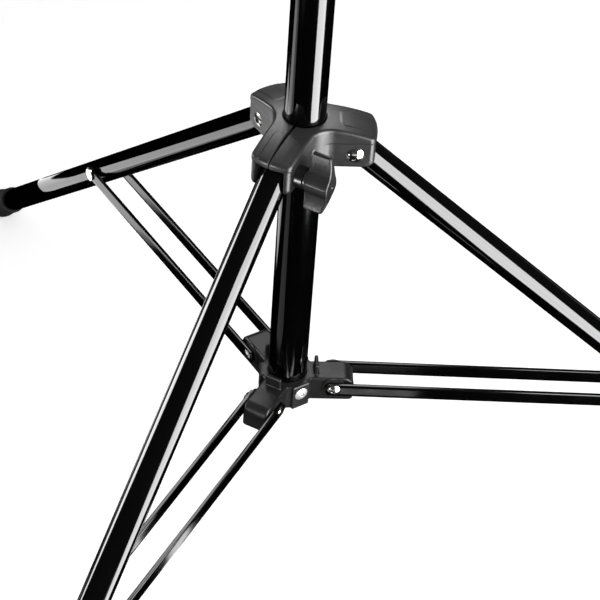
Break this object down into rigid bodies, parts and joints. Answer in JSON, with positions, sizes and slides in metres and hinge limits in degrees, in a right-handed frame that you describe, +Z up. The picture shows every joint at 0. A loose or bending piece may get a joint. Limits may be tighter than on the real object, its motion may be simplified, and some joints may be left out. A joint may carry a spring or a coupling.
{
  "type": "folding light stand",
  "caption": "Folding light stand with strutted tubular legs, a sliding clamp collar, a fixed lower hub and a telescopic column ending in a lamp spigot.",
  "frame": {"origin": "point of the floor under the column's axis, level with the three soles", "axes": "+Z up along the column, +X along the right leg, +Y to the rear; the front leg is at 240 degrees and the camera side is -Y"},
  "size_m": [0.6799, 0.7816, 0.911],
  "materials": {
    "tube_black": "gloss black coating",
    "moulding_grey": "finely textured dark grey moulding",
    "knob_black": "satin black moulding",
    "nylon_black": "plain black nylon",
    "foot_rubber": "matt black rubber",
    "strut_black": "semi-gloss black paint",
    "rivet_steel": "bright plated",
    "bolt_steel": "bright plated",
    "insert_brass": "turned",
    "spigot_steel": "satin plated"
  },
  "bodies": {
    "column": {"main_tube": "tube_black", "hub_plug": "nylon_black", "lower_hub": "moulding_grey", "hub_fixing_rivet": "rivet_steel", "hub_pivot_rivets": "rivet_steel", "hub_washers": "nylon_black", "lower_clamp": "moulding_grey", "lower_clamp_bolt": "bolt_steel", "lower_clamp_spacer": "strut_black"},
    "collar": {"upper_collar": "moulding_grey", "collar_rivets": "rivet_steel", "collar_bolt": "bolt_steel", "collar_spacer": "strut_black"},
    "collar_knob": {"collar_knob": "knob_black", "collar_knob_insert": "insert_brass"},
    "leg_right": {"leg_right": "tube_black", "leg_plug_right": "nylon_black", "leg_bush_right": "nylon_black", "foot_right": "foot_rubber"},
    "leg_rear": {"leg_rear": "tube_black", "leg_plug_rear": "nylon_black", "leg_bush_rear": "nylon_black", "foot_rear": "foot_rubber"},
    "leg_front": {"leg_front": "tube_black", "leg_plug_front": "nylon_black", "leg_bush_front": "nylon_black", "foot_front": "foot_rubber"},
    "struts_right": {"strut_right_1": "strut_black", "strut_right_2": "strut_black", "strut_rivets_right": "rivet_steel"},
    "struts_rear": {"strut_rear_1": "strut_black", "strut_rear_2": "strut_black", "strut_rivets_rear": "rivet_steel"},
    "struts_front": {"strut_front_1": "strut_black", "strut_front_2": "strut_black", "strut_rivets_front": "rivet_steel"},
    "lower_clamp_knob": {"lower_clamp_knob": "knob_black", "lower_clamp_insert": "insert_brass"},
    "mid_section": {"mid_tube": "tube_black", "mid_bush": "nylon_black", "upper_clamp": "moulding_grey", "upper_clamp_bolt": "bolt_steel", "upper_clamp_spacer": "strut_black"},
    "upper_clamp_knob": {"upper_clamp_knob": "knob_black", "upper_clamp_insert": "insert_brass"},
    "top_section": {"top_tube": "tube_black", "top_bush": "nylon_black", "top_spigot": "spigot_steel"}
  },
  "joints": [
    {"name": "collar_slide", "type": "slide", "parent": "column", "child": "collar", "axis": [0, 0, 1], "range_m": [0, 0.3255]},
    {"name": "leg_right_fold", "type": "hinge", "parent": "collar", "child": "leg_right", "pos_m": [0.03, 0, 0.37217], "axis": [0, 1, 0], "range_deg": [0, 45.21]},
    {"name": "leg_rear_fold", "type": "hinge", "parent": "collar", "child": "leg_rear", "pos_m": [-0.015, 0.02598, 0.37217], "axis": [-0.866, -0.5, 0], "range_deg": [0, 45.21]},
    {"name": "leg_front_fold", "type": "hinge", "parent": "collar", "child": "leg_front", "pos_m": [-0.015, -0.02598, 0.37217], "axis": [0.866, -0.5, 0], "range_deg": [0, 45.21]},
    {"name": "struts_right_swing", "type": "hinge", "parent": "column", "child": "struts_right", "pos_m": [0.03, 0, 0.18016], "axis": [0, -1, 0], "range_deg": [0, 87.53]},
    {"name": "struts_rear_swing", "type": "hinge", "parent": "column", "child": "struts_rear", "pos_m": [-0.015, 0.02598, 0.18016], "axis": [0.866, 0.5, 0], "range_deg": [0, 87.53]},
    {"name": "struts_front_swing", "type": "hinge", "parent": "column", "child": "struts_front", "pos_m": [-0.015, -0.02598, 0.18016], "axis": [-0.866, 0.5, 0], "range_deg": [0, 87.53]},
    {"name": "collar_knob_turn", "type": "hinge", "parent": "collar", "child": "collar_knob", "pos_m": [-0.015, -0.02598, 0.37217], "axis": [0.866, -0.5, 0], "continuous": true},
    {"name": "lower_clamp_knob_turn", "type": "hinge", "parent": "column", "child": "lower_clamp_knob", "pos_m": [-0.0105, -0.01819, 0.792], "axis": [0.866, -0.5, 0], "continuous": true},
    {"name": "mid_section_slide", "type": "slide", "parent": "column", "child": "mid_section", "axis": [0, 0, 1], "range_m": [0, 0.5445]},
    {"name": "upper_clamp_knob_turn", "type": "hinge", "parent": "mid_section", "child": "upper_clamp_knob", "pos_m": [-0.0105, -0.01819, 0.842], "axis": [0.866, -0.5, 0], "continuous": true},
    {"name": "top_section_slide", "type": "slide", "parent": "mid_section", "child": "top_section", "axis": [0, 0, 1], "range_m": [0, 0.5445]}
  ],
  "couplings": [
    {"joint": "leg_right_fold", "follows": "collar_slide", "rad_per_m": 2.4236},
    {"joint": "leg_rear_fold", "follows": "collar_slide", "rad_per_m": 2.4236},
    {"joint": "leg_front_fold", "follows": "collar_slide", "rad_per_m": 2.4236},
    {"joint": "struts_right_swing", "follows": "collar_slide", "rad_per_m": 4.6925},
    {"joint": "struts_rear_swing", "follows": "collar_slide", "rad_per_m": 4.6925},
    {"joint": "struts_front_swing", "follows": "collar_slide", "rad_per_m": 4.6925}
  ]
}
